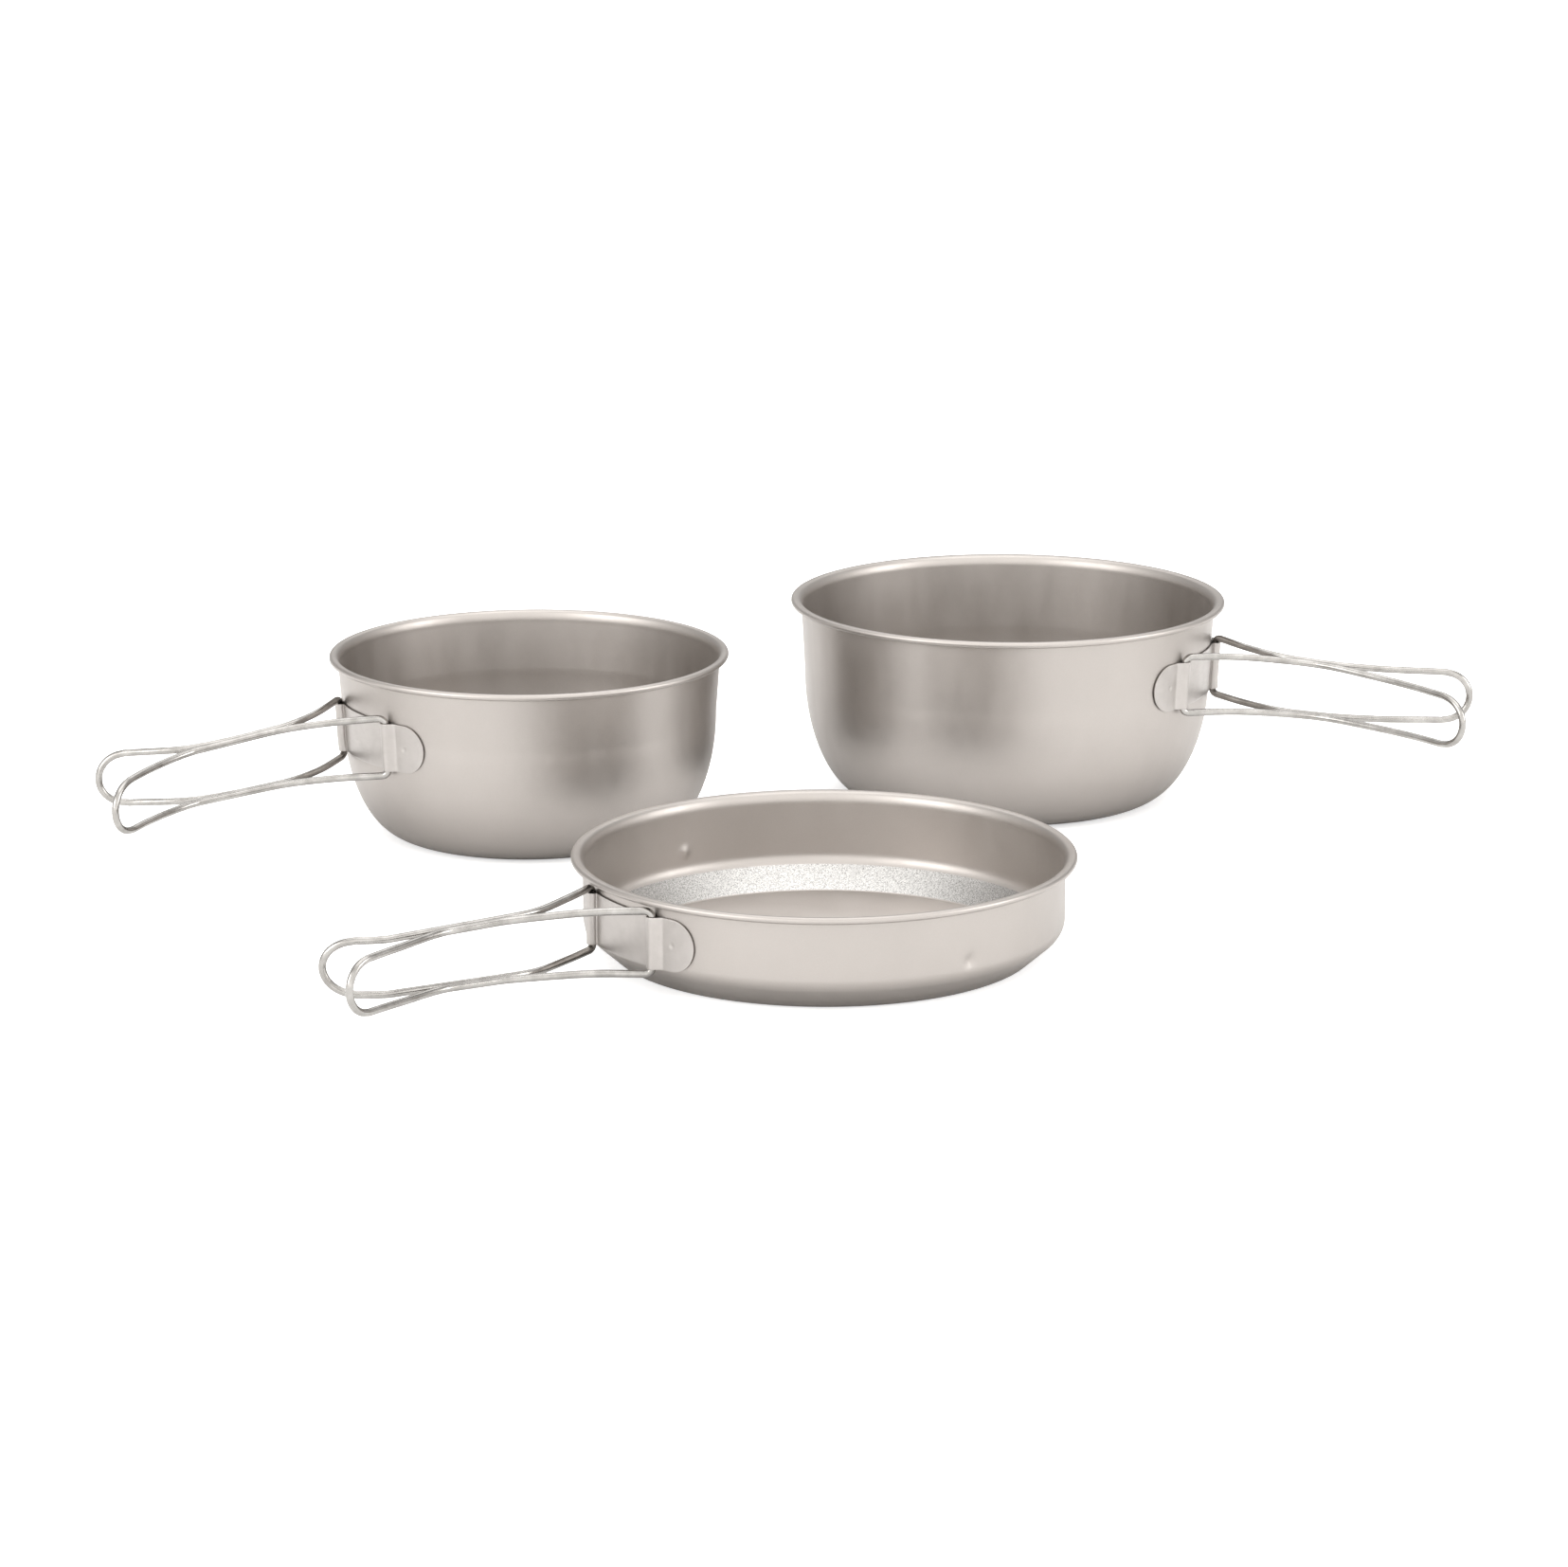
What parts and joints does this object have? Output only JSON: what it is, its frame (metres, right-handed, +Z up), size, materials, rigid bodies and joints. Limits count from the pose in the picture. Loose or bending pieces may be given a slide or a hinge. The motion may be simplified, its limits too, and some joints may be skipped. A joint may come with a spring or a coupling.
{
  "type": "camping cookware set",
  "caption": "Nesting camping cookware of thin titanium: deep pots and a shallow frying pan, each with folding wire handles hinged in a sheet strap.",
  "frame": {"origin": "centre of the large pot's base, on the surface that the set stands on", "axes": "+Z up; the frying pan stands in front of the pots towards -Y, and the small pot beside the large one towards -X"},
  "size_m": [0.5022, 0.4255, 0.0761],
  "materials": {
    "titanium": "fine matt, bead-blasted titanium",
    "strap_titanium": "satin rolled titanium sheet",
    "steel_wire": "bright drawn stainless wire"
  },
  "bodies": {
    "large_pot": {"large_pot_shell": "titanium", "large_pot_handle_strap": "strap_titanium"},
    "small_pot": {"small_pot_shell": "titanium", "small_pot_handle_strap": "strap_titanium"},
    "frying_pan": {"frying_pan_shell": "titanium", "frying_pan_handle_strap": "strap_titanium"},
    "large_pot_left_handle": {"large_pot_left_handle": "steel_wire"},
    "large_pot_right_handle": {"large_pot_right_handle": "steel_wire"},
    "small_pot_left_handle": {"small_pot_left_handle": "steel_wire"},
    "small_pot_right_handle": {"small_pot_right_handle": "steel_wire"},
    "frying_pan_left_handle": {"frying_pan_left_handle": "steel_wire"},
    "frying_pan_right_handle": {"frying_pan_right_handle": "steel_wire"}
  },
  "joints": [
    {"name": "small_pot_lift", "type": "slide", "parent": "large_pot", "child": "small_pot", "axis": [0, 0, 1], "range_m": [0, 0.12]},
    {"name": "frying_pan_lift", "type": "slide", "parent": "large_pot", "child": "frying_pan", "axis": [0, 0, 1], "range_m": [0, 0.12]},
    {"name": "large_pot_left_handle_fold", "type": "hinge", "parent": "large_pot", "child": "large_pot_left_handle", "pos_m": [0.0777, -0.01209, 0.0522], "axis": [0.0528, -0.0082, 0.9986], "range_deg": [0, 125]},
    {"name": "large_pot_right_handle_fold", "type": "hinge", "parent": "large_pot", "child": "large_pot_right_handle", "pos_m": [0.06381, -0.04595, 0.0522], "axis": [0.0434, -0.0312, 0.9986], "range_deg": [-125, 0]},
    {"name": "small_pot_left_handle_fold", "type": "hinge", "parent": "small_pot", "child": "small_pot_left_handle", "pos_m": [-0.22793, -0.10413, 0.0427], "axis": [-0.0482, -0.0498, 0.9976], "range_deg": [0, 125]},
    {"name": "small_pot_right_handle_fold", "type": "hinge", "parent": "small_pot", "child": "small_pot_right_handle", "pos_m": [-0.24673, -0.07273, 0.0427], "axis": [-0.0666, -0.0189, 0.9976], "range_deg": [-125, 0]},
    {"name": "frying_pan_left_handle_fold", "type": "hinge", "parent": "frying_pan", "child": "frying_pan_left_handle", "pos_m": [-0.12803, -0.27906, 0.0192], "axis": [0, 0, 1], "range_deg": [0, 125]},
    {"name": "frying_pan_right_handle_fold", "type": "hinge", "parent": "frying_pan", "child": "frying_pan_right_handle", "pos_m": [-0.14871, -0.24886, 0.0192], "axis": [0, 0, 1], "range_deg": [-125, 0]}
  ]
}
